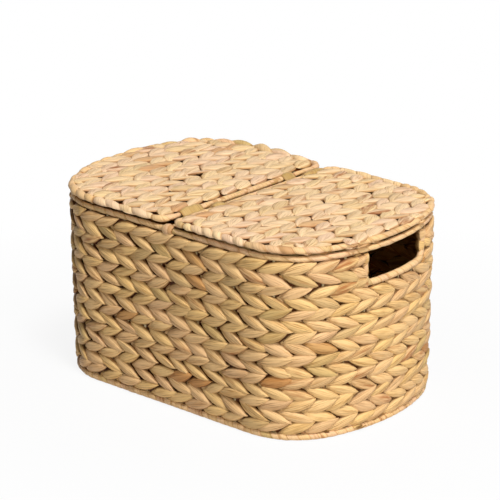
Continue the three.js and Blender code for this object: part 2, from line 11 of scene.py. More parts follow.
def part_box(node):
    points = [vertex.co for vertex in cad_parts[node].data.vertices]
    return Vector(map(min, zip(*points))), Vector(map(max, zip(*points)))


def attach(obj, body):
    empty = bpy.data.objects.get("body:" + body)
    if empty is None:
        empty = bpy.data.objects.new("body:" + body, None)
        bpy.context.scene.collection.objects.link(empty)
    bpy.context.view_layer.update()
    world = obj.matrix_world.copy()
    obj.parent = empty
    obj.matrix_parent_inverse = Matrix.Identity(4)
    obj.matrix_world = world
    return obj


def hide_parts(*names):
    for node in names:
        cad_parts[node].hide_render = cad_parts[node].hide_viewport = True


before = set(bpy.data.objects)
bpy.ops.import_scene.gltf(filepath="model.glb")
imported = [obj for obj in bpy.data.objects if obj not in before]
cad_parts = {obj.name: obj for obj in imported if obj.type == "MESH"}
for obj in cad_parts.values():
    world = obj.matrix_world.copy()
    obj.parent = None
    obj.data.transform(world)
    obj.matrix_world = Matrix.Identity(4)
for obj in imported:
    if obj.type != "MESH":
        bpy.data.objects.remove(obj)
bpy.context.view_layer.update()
UP = Vector((0, 0, 1))

# Plan of the basket, in metres: straight long sides, round corners and bowed ends
HALF_LENGTH = 0.190
HALF_WIDTH = 0.125
END_RADIUS = 0.211
CORNER_RADIUS = 0.076
FOOT_TAPER = 0.003
STAKE_INSET = 0.005
STAKES_PER_QUARTER = 11
WALL_THICKNESS = 0.011
FACET_SHARE = 0.8  # how far the wall runs straight from bend to bend instead of round
LOWER_ROWS = 12
UPPER_ROWS = 3
LID_ROWS = 14
FLOOR_ROWS = 30
WIRE_RADIUS = 0.002

# Hand holes
HOLE_FRONT_STAKES = 2
HOLE_BACK_STAKES = 3
HOLE_BEND = 0.008
HOLE_SAG = 0.0024  # the row under a hand hole hangs this far below its rod
HOLE_KEEP = 0.0015  # how far the leaves beside a hand hole reach past the middle of its uprights

# Lids and the seam between them
SEAM_X = 0.007
SEAM_CORNER = 0.012
SEAM_GAP = 0.0015  # keeps the lids' first row clear of the straps
SEAM_SLIM = 0.27  # how much slimmer the seam strip is beside the other lid's strap
SEAM_BEND = 0.013  # how far along its strip a seam corner is half turned
SEAM_WEAVE_INSET = 0.0024  # how far the weave ends inside the rod of a seam corner
EDGE_SLACK = 0.0006  # how far a lid's edge rod stays inside the plan
EDGE_WEAVE_INSET = 0.0012  # how far a lid's weave ends inside the middle of its edge rod
EDGE_TAIL = 0.002  # the straight stretch that a corner's strip takes in beside its bend
CORNER_TURNS = 0.085  # length of the fat turns round each outer corner of a lid
LID_GAP = 0.0012  # daylight between a lid's edge and the rim
STRAP_GAP = 0.0004  # between a strap and the strips beside it
STRAP_ON_BAR = 0.0006  # slack of a strap round the crossbar's strip
STRAP_ON_ROD = 0.0003  # slack of a strap round a seam wire
STRAP_SWELL = 0.0014
STRAPS = {
    "left_lid_strap_front": -1,
    "left_lid_strap_back": -1,
    "right_lid_strap_front": 1,
    "right_lid_strap_back": 1,
}
LASHING_WIDTH = 0.014
LASHING_SWELL = 0.0019
FLOOR_WEAVE_INSET = 0.0024  # how far the floor's weave ends inside the middle of the base edge
FLOOR_LIFT = 0.0018  # keeps the leaves beneath the floor off the ground

# Heights and rods, read from the frame
WALL_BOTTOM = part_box("wall_weave_lower")[0].z
WALL_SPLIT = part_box("wall_weave_lower")[1].z
UPPER_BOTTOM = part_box("wall_weave_upper_back")[0].z
WALL_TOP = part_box("wall_weave_upper_back")[1].z
ROW_PITCH = (WALL_SPLIT - WALL_BOTTOM) / LOWER_ROWS
TOP_ROW_Z = WALL_TOP - ROW_PITCH / 2
LID_WEAVE_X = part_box("right_lid_weave")[0].x
LID_END_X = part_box("right_lid_weave")[1].x
LID_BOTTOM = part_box("right_lid_weave")[0].z
LID_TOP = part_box("right_lid_weave")[1].z
FLOOR_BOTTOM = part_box("floor_weave")[0].z
FLOOR_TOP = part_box("floor_weave")[1].z
ROD_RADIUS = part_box("crossbar_wrap")[1].x
CROSSBAR_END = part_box("crossbar_wrap")[1].y
BASE_Z = (FLOOR_BOTTOM + FLOOR_TOP) / 2
RIM_Z = WALL_TOP + (LID_BOTTOM - WALL_TOP) / 2
LID_Z = (LID_BOTTOM + LID_TOP) / 2
HOLE_ROD_Z = UPPER_BOTTOM + ROD_RADIUS
LID_WIRE_INSET = EDGE_SLACK + ROD_RADIUS
BASE_INSET = STAKE_INSET + FOOT_TAPER

# Leaves of the wall
LEAF_REACH = 1.7  # how many stake pitches one visible leaf spans
LEAF_WIDTH = 0.0138
LEAF_CROWN = 0.0043  # height of a leaf's middle over its edges
LEAF_SLOPE = math.radians(17.5)
LEAF_ROUNDNESS = 0.75  # below 1 a leaf has a flatter back and steeper sides than a ball
LEAF_START = 0.3  # how pointed a leaf is where it starts
TIP_POINT = 0.5  # how pointed a leaf is where it ends
TIP_LIFT = 0.0014  # how far a leaf's end rises over the start of the next one
START_DIP = 0.0012
TIP_DIP = 0.001

# Leaves of the lids and the floor, where a leaf's start lies over the end of the one before
LID_LEAF_PITCH = 0.024
LID_LEAF_REACH = 1.5
LID_LEAF_WIDTH = 0.0176
LID_LEAF_CROWN = 0.0024
LID_LEAF_SLOPE = math.radians(22)
LID_LEAF_ROUNDNESS = 0.55
LID_TIP_POINT = 0.34
LID_TIP_LIFT = -0.0006
LID_START_DIP = 0.0002
LID_TIP_DIP = 0.0005
LID_SHORTEST = 0.45  # shorter ends of a row than this share of half a leaf are left out

# Folds of leaf round the uprights of a hand hole
FOLD_RADIUS = 0.0048
FOLD_WIDTH = 0.0135
FOLD_CROWN = 0.0026
FOLD_ROUNDNESS = 1.0
FOLD_TAIL = 0.011  # how far a fold runs over the wall

# Leaves of every kind
BLUNT_START = 0.12  # how pointed the leaves of the lids and the folds are where they start
UNDERSIDE = 0.4  # how deep a leaf's underside is, as a share of a ball's
LEAF_SEAT = 0.9  # how much of its crown a leaf sinks into the weave

# How leaves differ: standard deviations, then ranges from low to high
LEAN_SPREAD = 3.2  # in degrees
ALONG_SPREAD = 0.0012
ROW_SPREAD = 0.0005
ROLL_SPREAD = 0.0008
LENGTH_RANGE = (0.9, 1.06)
BREADTH_RANGE = (0.85, 1.12)
CROWN_RANGE = (0.88, 1.1)
LIFT_RANGE = (0.5, 1.5)
BELLY_RANGE = (-0.12, 0.12)
GROOVED_SHARE = 0.3
GROOVE_DEPTH_RANGE = (0.15, 0.45)
GROOVE_PLACE_RANGE = (-0.4, 0.4)
GROOVE_HALF_WIDTH = 0.5
PUFF_RANGE = (0.5, 1.4)
RED_BROWN_BELOW = 0.035  # of all leaves, 3.5% are red-brown and the next 9.5% olive
RED_BROWN_TINTS = (0.88, 1.0)
OLIVE_BELOW = 0.13
OLIVE_TINTS = (0.65, 0.82)
STRAW_TINTS = (0.0, 0.62)
STAINED_SHARE = 0.16
STAINED_RANGE = (0.45, 0.9)
CLEAN_RANGE = (0, 0.3)

# Wound leaf strips
STRIP_THICKNESS = 0.0007
STRIP_LAP = 0.22  # how much wider a strip is than its pitch
STRIP_UNEVENNESS = 0.3
STRIP_RUN = 0.9  # how far the last turn goes round
STRIP_TILT = 0.0004  # how far a turn's one edge rides over the next turn
STRIP_SEAT = 0.0002
RIM_UNEVENNESS = 0.5
END_UNEVENNESS = 0.5
LASHING_LAP = 0.6
STRAP_LAP = 0.3
STRIP_MESH = (3, 10)  # faces across a strip, and along each of its turns
EDGE_MESH = (6, 16)
STRAP_MESH = (6, 24)
# Turns of each strip: radius, pitch along the rod, and how far each turn swells
RIM_TURNS = (ROD_RADIUS - 0.0005, 0.0195, 0.0006)
BASE_TURNS = (ROD_RADIUS, 0.0095, 0.0005)
CROSSBAR_TURNS = (ROD_RADIUS, 0.0125, 0.0003)
LASHING_TURNS = (ROD_RADIUS + 0.0006, 0.0055, 0.0003)
HOLE_TURNS = (ROD_RADIUS, 0.0125, 0.0004)
STRAP_TURNS = (0.0022, 0.0145, 0.0009)  # the radius counts from the slack round the rods
SEAM_TURNS = {
    "front": (0.0042, 0.014, 0.0009),
    "middle": (0.0034, 0.0052, 0.0003),
    "back": (0.0042, 0.014, 0.0009),
}
LID_EDGES = {
    ("left_lid", "front"): (0.0056, 0.0205, 0.0026),
    ("left_lid", "back"): (0.0066, 0.0245, 0.0036),
    ("left_lid", "front_corner"): (0.0054, 0.0175, 0.0022),
    ("left_lid", "end"): (0.0055, 0.0195, 0.0024),
    ("left_lid", "back_corner"): (0.0058, 0.0205, 0.0028),
    ("right_lid", "front"): (0.0052, 0.0135, 0.0022),
    ("right_lid", "back"): (0.0048, 0.0165, 0.0011),
    ("right_lid", "front_corner"): (0.0048, 0.0155, 0.0015),
    ("right_lid", "end"): (0.0033, 0.021, 0.0003),
    ("right_lid", "back_corner"): (0.0048, 0.0155, 0.0015),
}

# Strands behind the stakes, coloured dark as painted shade in the gaps of the weave
CORE_HALF = 0.0004
# The strands' darkest red-brown tint, and a stain value past 1 for full brown stain: painted shade
CORE_PAINTED_SHADE_TINT = 0.9
CORE_PAINTED_SHADE_STAIN = 2.0
CORE_INSET = 0.0059
CORE_ACROSS = 4
CORE_STEPS_PER_LEAF = 4
PANEL_CORE_STEPS = 40

# Fineness of the meshes: faces round a leaf and along it, then steps along the rods
LEAF_MESH = (8, 8)
PAD_MESH = (10, 6)
FOLD_MESH = (16, 10)
TRAIL_STEP = 0.004
SEAM_STEP = math.radians(9)
HOLE_STEP = math.radians(15)
SHARP_ANGLE = math.radians(60)
TINY = 1e-6

# Grain of a dried leaf: scale of the noise along and across the leaf, and its detail
FIBRE_NOISE = (1.6, 15.0, 3.0)
STREAK_NOISE = (1.1, 4.5, 2.0)
BLOTCH_NOISE = (1.5, 3.2, 2.0)
NOISE_ROUGHNESS = 0.6
NOISE_SHIFT = 173.0  # moves the noise on from the tint of one leaf to that of the next
BLOTCH_SHARE = 0.42  # how much a leaf's own stain adds to its blotches; a value past 1 fills them, as painted shade on the strands behind the weave
BLOTCH_RANGE = (0.72, 1.1)
PAINTED_EDGE_SHADE_RANGE = (0.17, 0.0)  # painted shade: a leaf darkens over this share of its width, up to its edge, where it meets the next
FIBRE_HEIGHT = 0.0006
LEAF_GLOSS = 0.2
GLOSS_SPREAD = 0.12
GRAIN_STOPS = ((0.33, (0.5, 0.39, 0.28)), (0.47, (1, 1, 1)), (0.75, (1.14, 1.14, 1.12)))
STREAK_STOPS = ((0.3, (0.78, 0.68, 0.55)), (0.48, (1, 1, 1)), (1.0, (1.06, 1.06, 1.04)))
# Brown of real stains on the leaves, and painted shade over the strands behind the weave
BROWN_STAIN_AND_SHADE = (0.36, 0.13, 0.035)
# Colours multiplied in towards the edges of leaves and strip turns: painted shade where they meet
WALL_PAINTED_EDGE_SHADE = (0.27, 0.2, 0.13)
PAD_PAINTED_EDGE_SHADE = (0.5, 0.36, 0.23)
STRIP_PAINTED_EDGE_SHADE = (0.74, 0.62, 0.48)
# Colours of leaves by their tint, and of the wire by its noise
WALL_COLOURS = (
    (0.0, (0.74, 0.475, 0.185)),
    (0.3, (0.76, 0.495, 0.22)),
    (0.6, (0.70, 0.435, 0.215)),
    (0.75, (0.58, 0.395, 0.155)),
    (0.95, (0.55, 0.27, 0.09)),
)
# Lid leaves: the wall's spread of tints, made paler as painted sheen on the lit top of the basket
LID_COLOURS = (
    (0.0, (0.84, 0.595, 0.305)),
    (0.3, (0.85, 0.605, 0.355)),
    (0.6, (0.82, 0.56, 0.36)),
    (0.75, (0.72, 0.51, 0.265)),
    (0.95, (0.66, 0.37, 0.17)),
)
WRAP_COLOURS = (
    (0.0, (0.74, 0.48, 0.22)),
    (0.4, (0.77, 0.51, 0.265)),
    (0.62, (0.72, 0.45, 0.25)),
    (0.78, (0.60, 0.42, 0.17)),
    (0.95, (0.54, 0.30, 0.13)),
)
STRAP_COLOURS = (
    (0.0, (0.47, 0.30, 0.105)),
    (0.5, (0.53, 0.345, 0.13)),
    (1.0, (0.43, 0.275, 0.09)),
)
WIRE_COLOURS = (
    (0.35, (0.2, 0.13, 0.05)),
    (0.55, (0.38, 0.29, 0.15)),
    (1.0, (0.6, 0.5, 0.33)),
)
WIRE_NOISE_SCALE = 160.0
WIRE_NOISE_DETAIL = 3.0
WIRE_ROUGHNESS = (0.62, 0.38)

# Camera, lamps and paper
LENS = 186.8
SENSOR_WIDTH = 36.0
EYE = (1.6710, -1.8822, 1.0172)
TARGET = (0.0005, 0, 0.1374)
LAMP_DISTANCE = 5.0
LAMP_TARGET = (0, 0, 0.1)
# Each lamp's turn from the front towards the right-hand end, its angle upward, its width and its power
SOFTBOXES = {
    "top": (math.radians(66), math.radians(66), 1.35, 232),
    "side": (math.radians(69), math.radians(20), 0.95, 130),
}
PAPER_HALF = 4
PAPER_COLOUR = (0.7, 0.7, 0.7, 1)
PAPER_ROUGHNESS = 0.9
# The paper glows white to the camera, a little less from the near distance inward, where the shadow lies
GLOW_DISTANCES = (0.2, 0.55)
GLOW_SHARES = (0.9, 1.0)
WHITE = (1, 1, 1, 1)

# Plan values worked out from the sizes above
END_CENTRE = HALF_LENGTH - END_RADIUS
CORNER_Y = HALF_WIDTH - CORNER_RADIUS
CORNER_X = END_CENTRE + math.sqrt((END_RADIUS - CORNER_RADIUS) ** 2 - CORNER_Y**2)
CORNER_ANGLE = math.atan2(CORNER_Y, CORNER_X - END_CENTRE)
CORNER_RUN = (CORNER_RADIUS - STAKE_INSET) * (math.pi / 2 - CORNER_ANGLE)
QUARTER = CORNER_X + CORNER_RUN + (END_RADIUS - STAKE_INSET) * CORNER_ANGLE
STAKE_PITCH = QUARTER / STAKES_PER_QUARTER
STAKES = 4 * STAKES_PER_QUARTER
ROUND = 4 * QUARTER
HOLE_FIRST = QUARTER + (0.5 - HOLE_FRONT_STAKES) * STAKE_PITCH
HOLE_LAST = QUARTER + (HOLE_BACK_STAKES - 0.5) * STAKE_PITCH
HOLES = ((HOLE_FIRST, HOLE_LAST), (ROUND - HOLE_LAST, ROUND - HOLE_FIRST))


def clamp(value, low, high):
    return max(low, min(high, value))


def spread(start, end, step):
    """Values from start to end, in even steps of about the given size."""
    count = max(2, round(abs(end - start) / step))
    return [start + (end - start) * i / count for i in range(count + 1)]


def belly(along, width):
    """0 at both edges of a band and 1 in its middle."""
    return math.sin(math.pi * clamp(along / width, 0, 1))


# Plan and surfaces

def quarter_spot(run):
    """Outer face and outward direction of the front right quarter of the plan."""
    if run <= CORNER_X:
        return Vector((run, -HALF_WIDTH, 0)), Vector((0, -1, 0))
    if run <= CORNER_X + CORNER_RUN:
        angle = (run - CORNER_X) / (CORNER_RADIUS - STAKE_INSET) - math.pi / 2
        out = Vector((math.cos(angle), math.sin(angle), 0))
        return Vector((CORNER_X, -CORNER_Y, 0)) + CORNER_RADIUS * out, out
    angle = (run - CORNER_X - CORNER_RUN) / (END_RADIUS - STAKE_INSET) - CORNER_ANGLE
    out = Vector((math.cos(angle), math.sin(angle), 0))
    return Vector((END_CENTRE, 0, 0)) + END_RADIUS * out, out


def plan_spot(run):
    """Outer face and outward direction at a run from the middle of the front, towards the right."""
    run = run % ROUND
    quarter = min(int(run // QUARTER), 3)
    rest = run - quarter * QUARTER
    spot, out = quarter_spot(QUARTER - rest if quarter % 2 else rest)
    flip = Vector((1 if quarter < 2 else -1, 1 if quarter in (0, 3) else -1, 1))
    return spot * flip, out * flip


def taper_at(z):
    return FOOT_TAPER * clamp((TOP_ROW_Z - z) / (TOP_ROW_Z - WALL_BOTTOM), 0, 1)


BENDS = [plan_spot(i * STAKE_PITCH)[0] for i in range(STAKES)]


def wall_spot(run):
    """As plan_spot, but the wall is nearly straight at each stake and bends between them."""
    spot, out = plan_spot(run)
    bend = math.floor(run / STAKE_PITCH)
    share = run / STAKE_PITCH - bend
    chord = BENDS[bend % STAKES].lerp(BENDS[(bend + 1) % STAKES], share)
    return spot.lerp(chord, FACET_SHARE), out


def wall_outside(run, z, lift):
    spot, out = wall_spot(run)
    return spot + out * (lift - taper_at(z)) + UP * z


def wall_inside(run, z, lift):
    spot, out = wall_spot(run)
    return spot - out * (WALL_THICKNESS + taper_at(z) + lift) + UP * z


def level(z, way=1, side=1):
    """A flat face at a height, upward or downward, on the right or mirrored to the left."""

    def surface(y, x, lift):
        return Vector((side * x, y, z + way * lift))

    return surface


def plan_reach(x, inset):
    """Half the width of the plan at x, set in from the outer face."""
    x = abs(x)
    end = END_RADIUS - inset
    corner = CORNER_RADIUS - inset
    if x <= CORNER_X:
        return HALF_WIDTH - inset
    if x <= END_CENTRE + end * math.cos(CORNER_ANGLE):
        return CORNER_Y + math.sqrt(max(0, corner**2 - (x - CORNER_X) ** 2))
    return math.sqrt(max(0, end**2 - (x - END_CENTRE) ** 2))


# Middle lines of the rods

class Trail:
    """A rod's middle line, with an outward direction at each of its points."""

    def __init__(self, points, outs):
        self.points = points
        self.outs = outs
        self.lengths = [0.0]
        for here, there in zip(points, points[1:]):
            self.lengths.append(self.lengths[-1] + (there - here).length)
        self.length = self.lengths[-1]

    def place(self, along, angle, radius):
        """A point at a radius round the rod; angle 0 faces outward."""
        i = clamp(bisect.bisect_right(self.lengths, along) - 1, 0, len(self.points) - 2)
        here, there = self.points[i], self.points[i + 1]
        share = (along - self.lengths[i]) / (self.lengths[i + 1] - self.lengths[i])
        out = self.outs[i].lerp(self.outs[i + 1], clamp(share, 0, 1)).normalized()
        side = (there - here).normalized().cross(out).normalized()
        return here.lerp(there, share) + radius * (math.cos(angle) * out + math.sin(angle) * side)

    def mirrored(self, side):
        """The same line on the right for side 1, or on the left for side -1."""
        flip = Vector((side, 1, 1))
        return Trail([point * flip for point in self.points], [out * flip for out in self.outs])


def ring_trail(inset, z, start=0.0, end=ROUND):
    spots = [plan_spot(run) for run in spread(start, end, TRAIL_STEP)]
    return Trail([spot - out * inset + UP * z for spot, out in spots], [out for spot, out in spots])


def straight_trail(start, end, out):
    return Trail([start, end], [out, out])


def seam_corner_trail(front, strap_edge):
    """From the straight edge of a lid round its corner to the seam rod and along it to a strap."""
    sign = -1 if front else 1
    wire_y = HALF_WIDTH - LID_WIRE_INSET
    centre = Vector((SEAM_X + SEAM_CORNER, sign * (wire_y - SEAM_CORNER), LID_Z))
    points = [Vector((centre.x + EDGE_TAIL, sign * wire_y, LID_Z))]
    outs = [Vector((0, sign, 0))]
    for angle in spread(0, math.pi / 2, SEAM_STEP):
        out = Vector((-math.sin(angle), sign * math.cos(angle), 0))
        points.append(centre + SEAM_CORNER * out)
        outs.append(out)
    points.append(Vector((SEAM_X, strap_edge, LID_Z)))
    outs.append(Vector((-1, 0, 0)))
    return Trail(points, outs)


def hole_trail():
    """Up one side of a hand hole, along its foot and up the other side."""
    bend_z = HOLE_ROD_Z + HOLE_BEND
    flat = [(HOLE_FIRST, z) for z in spread(WALL_TOP, bend_z, TRAIL_STEP)]
    for angle in spread(math.pi, 1.5 * math.pi, HOLE_STEP):
        run = HOLE_FIRST + HOLE_BEND * (1 + math.cos(angle))
        flat.append((run, bend_z + HOLE_BEND * math.sin(angle)))
    foot = spread(HOLE_FIRST + HOLE_BEND, HOLE_LAST - HOLE_BEND, TRAIL_STEP)
    flat += [(run, HOLE_ROD_Z) for run in foot[1:-1]]
    for angle in spread(1.5 * math.pi, 2 * math.pi, HOLE_STEP):
        run = HOLE_LAST - HOLE_BEND * (1 - math.cos(angle))
        flat.append((run, bend_z + HOLE_BEND * math.sin(angle)))
    flat += [(HOLE_LAST, z) for z in spread(bend_z, WALL_TOP, TRAIL_STEP)[1:]]
    points = [wall_outside(run, z, -STAKE_INSET) for run, z in flat]
    return Trail(points, [plan_spot(run)[1] for run, z in flat])


# Leaves and strips

def leaf_blank(sides, steps, roundness, tip, start):
    """One leaf, one unit in half length, with its own pointedness where it ends and where it starts."""
    bm = bmesh.new()
    turn = Matrix.Rotation(math.pi / 2, 4, "Y")
    bmesh.ops.create_uvsphere(bm, u_segments=sides, v_segments=steps, radius=1, matrix=turn)
    uv = bm.loops.layers.uv.new("leaf")
    bm.verts.layers.float.new("tint")
    bm.verts.layers.float.new("stain_and_shade")
    for face in bm.faces:
        for loop in face.loops:
            x, y, z = loop.vert.co
            fade = math.sqrt(max(TINY, 1 - x * x))
            loop[uv].uv = (0.5 + 0.5 * x, 0.5 + 0.5 * clamp(y / fade, -1, 1))
    for v in bm.verts:
        fade = max(0, 1 - v.co.x**2)
        v.co.y *= fade ** (tip if v.co.x > 0 else start)
        v.co.z = abs(v.co.z) ** roundness if v.co.z > 0 else UNDERSIDE * v.co.z
    mesh = bpy.data.meshes.new("leaf_blank")
    bm.to_mesh(mesh)
    bm.free()
    return mesh


LEAF = leaf_blank(*LEAF_MESH, LEAF_ROUNDNESS, TIP_POINT, LEAF_START)
PAD = leaf_blank(*PAD_MESH, LID_LEAF_ROUNDNESS, LID_TIP_POINT, BLUNT_START)
FOLD = leaf_blank(*FOLD_MESH, FOLD_ROUNDNESS, TIP_POINT, BLUNT_START)
WALL_CUT = (LEAF, LEAF_WIDTH, LEAF_CROWN, TIP_LIFT, START_DIP, TIP_DIP)
PANEL_CUT = (PAD, LID_LEAF_WIDTH, LID_LEAF_CROWN, LID_TIP_LIFT, LID_START_DIP, LID_TIP_DIP)
FOLD_CUT = (FOLD, FOLD_WIDTH, FOLD_CROWN, TIP_LIFT, START_DIP, TIP_DIP)


def leaf_tint(rng):
    """Most leaves are straw to pinkish beige, some olive and a few red-brown."""
    pick = rng.random()
    if pick < RED_BROWN_BELOW:
        return rng.uniform(*RED_BROWN_TINTS)
    if pick < OLIVE_BELOW:
        return rng.uniform(*OLIVE_TINTS)
    return rng.uniform(*STRAW_TINTS)


def leaf_stain(rng):
    return rng.uniform(*STAINED_RANGE) if rng.random() < STAINED_SHARE else rng.uniform(*CLEAN_RANGE)


def lay_leaf(bm, surface, low, high, row, slope, rng, cut):
    """A leaf of a given cut from run low to run high on a surface, sloping up its row."""
    blank, width, crown, tip_lift, start_dip, tip_dip = cut
    first = len(bm.verts)
    bm.from_mesh(blank)
    bm.verts.ensure_lookup_table()
    tint_layer = bm.verts.layers.float["tint"]
    stain_and_shade_layer = bm.verts.layers.float["stain_and_shade"]
    tint = leaf_tint(rng)
    stain_and_shade = leaf_stain(rng)
    slope += math.radians(rng.gauss(0, LEAN_SPREAD))
    half = (high - low) / 2 * rng.uniform(*LENGTH_RANGE)
    middle = (high + low) / 2 + rng.gauss(0, ALONG_SPREAD)
    row = row + rng.gauss(0, ROW_SPREAD)
    breadth = width / 2 * rng.uniform(*BREADTH_RANGE)
    roll = rng.gauss(0, ROLL_SPREAD)
    crown *= rng.uniform(*CROWN_RANGE)
    groove = rng.uniform(*GROOVE_DEPTH_RANGE) if rng.random() < GROOVED_SHARE else 0.0
    groove_at = rng.uniform(*GROOVE_PLACE_RANGE)
    tip_lift *= rng.uniform(*LIFT_RANGE)
    bow = rng.uniform(*BELLY_RANGE)
    cosine, sine = math.cos(slope), math.sin(slope)
    for v in bm.verts[first:]:
        x, y, z = v.co
        along = half * x
        across = breadth * (y + bow * (1 - x * x))
        lift = crown * (z - LEAF_SEAT) + tip_lift * x + roll * y
        lift -= start_dip * max(0, -x) ** 2 + tip_dip * max(0, x) ** 3
        lift -= crown * groove * max(0, 1 - abs(y - groove_at) / GROOVE_HALF_WIDTH) * max(0, z)
        run = middle + along * cosine - across * sine
        v.co = surface(run, row + along * sine + across * cosine, lift)
        v[tint_layer] = tint
        v[stain_and_shade_layer] = stain_and_shade


def strip_blank(steps, across):
    """A long flat slab in grid space: x along the strip, y across it, z through it."""
    bm = bmesh.new()
    bmesh.ops.create_grid(bm, x_segments=steps, y_segments=across, size=1)
    top = bmesh.ops.extrude_face_region(bm, geom=bm.faces[:], use_keep_orig=True)
    raised = [item for item in top["geom"] if isinstance(item, bmesh.types.BMVert)]
    bmesh.ops.translate(bm, verts=raised, vec=UP)
    bm.verts.layers.float.new("tint")
    bm.verts.layers.float.new("stain_and_shade")
    bm.loops.layers.uv.new("leaf")
    return bm


def wind(length, place, cut, rng, lap=STRIP_LAP, unevenness=STRIP_UNEVENNESS, mesh=STRIP_MESH):
    """Leaf strip wound round a rod: place gives a point from a length along it, an angle and a radius."""
    radius, pitch, bulge = cut
    across, steps = mesh
    turns = max(1, round(length / pitch))
    widths = [rng.uniform(1 - unevenness, 1 + unevenness) for _ in range(turns)]
    scale = length / sum(widths)
    starts = [0.0]
    for width in widths:
        starts.append(starts[-1] + width * scale)
    tints = [leaf_tint(rng) for _ in range(turns + 2)]
    stains = [leaf_stain(rng) for _ in range(turns + 2)]
    puffs = [rng.uniform(*PUFF_RANGE) for _ in range(turns + 2)]
    first_angle = rng.uniform(0, 2 * math.pi)

    def start_at(turn):
        turn = clamp(turn, 0, turns)
        whole = min(int(turn), turns - 1)
        return starts[whole] + (starts[whole + 1] - starts[whole]) * (turn - whole)

    bm = strip_blank((turns + 1) * steps, across)
    uv = bm.loops.layers.uv["leaf"]
    tint_layer = bm.verts.layers.float["tint"]
    stain_and_shade_layer = bm.verts.layers.float["stain_and_shade"]
    for face in bm.faces:
        for loop in face.loops:
            loop[uv].uv = ((loop.vert.co.x + 1) / 2 * (turns + 1), (loop.vert.co.y + 1) / 2)
    for v in bm.verts:
        turn = (v.co.x + 1) / 2 * (turns + STRIP_RUN) - 1
        share = (v.co.y + 1) / 2
        low = start_at(turn)
        high = start_at(turn + 1 + lap)
        along = low + (high - low) * share
        index = clamp(int(turn + 1), 0, turns + 1)
        swell = puffs[index] * clamp((high - low) / pitch, 0, 1)
        lift = bulge * swell * math.sin(math.pi * share) + STRIP_TILT * (share - 0.5)
        v[tint_layer] = tints[index]
        v[stain_and_shade_layer] = stains[index]
        depth = STRIP_THICKNESS * (v.co.z - 1)
        angle = first_angle + 2 * math.pi * turn
        v.co = place(along, angle, radius + lift - bulge - STRIP_SEAT + depth)
    return bm


def core(bm, steps, place):
    """Strands behind the stakes: a thin sheet, which place lays out from shares of it and a depth,
    coloured dark all over as painted shade.
    """
    sheet = strip_blank(steps, CORE_ACROSS)
    uv = sheet.loops.layers.uv["leaf"]
    tint_layer = sheet.verts.layers.float["tint"]
    stain_and_shade_layer = sheet.verts.layers.float["stain_and_shade"]
    for face in sheet.faces:
        for loop in face.loops:
            # Every point lies on a leaf's edge, so the whole sheet takes the painted edge shade
            loop[uv].uv = (loop.vert.co.x * steps / CORE_STEPS_PER_LEAF, 0)
    for v in sheet.verts:
        # Red-brown tint and full brown stain all over: painted shade
        v[tint_layer] = CORE_PAINTED_SHADE_TINT
        v[stain_and_shade_layer] = CORE_PAINTED_SHADE_STAIN
        v.co = place((v.co.x + 1) / 2, v.co.y, CORE_HALF * (2 * v.co.z - 1))
    mesh = bpy.data.meshes.new("core")
    sheet.to_mesh(mesh)
    sheet.free()
    bm.from_mesh(mesh)
    bpy.data.meshes.remove(mesh)


def core_sheet(bm, low_x, high_x, reach_at, surface):
    """The middle of a lid or of the floor."""

    def place(share, across, depth):
        x = low_x + (high_x - low_x) * share
        return surface(across * reach_at(x), x, depth)

    core(bm, PANEL_CORE_STEPS, place)


def core_band(bm, low_run, high_run, low_z, high_z):
    """The middle of the wall."""

    def place(share, across, depth):
        z = (low_z + high_z) / 2 + across * (high_z - low_z) / 2
        return wall_outside(low_run + (high_run - low_run) * share, z, depth - CORE_INSET)

    core(bm, round((high_run - low_run) / TRAIL_STEP), place)


def dress(bm, name, body, slot, material, *nodes):
    """Turns a finished bmesh into a piece that rides on a body and stands for some nodes."""
    bmesh.ops.recalc_face_normals(bm, faces=bm.faces[:])
    mesh = bpy.data.meshes.new(name)
    bm.to_mesh(mesh)
    bm.free()
    mesh.shade_smooth()
    mesh.set_sharp_from_angle(angle=SHARP_ANGLE)
    mesh.materials.append(material)
    piece = bpy.data.objects.new(name, mesh)
    bpy.context.scene.collection.objects.link(piece)
    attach(piece, body)
    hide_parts(*nodes)


# Materials

def node(tree, kind, values=None, **settings):
    """A new node with its settings, and with values for some of its sockets."""
    made = tree.nodes.new(kind)
    for key, value in settings.items():
        setattr(made, key, value)
    for socket, value in (values or {}).items():
        made.inputs[socket].default_value = value
    return made


def ramp(tree, stops):
    made = tree.nodes.new("ShaderNodeValToRGB")
    elements = made.color_ramp.elements
    while len(elements) < len(stops):
        elements.new(0.5)
    for element, (place, colour) in zip(elements, stops):
        element.position = place
        element.color = (*colour, 1)
    return made


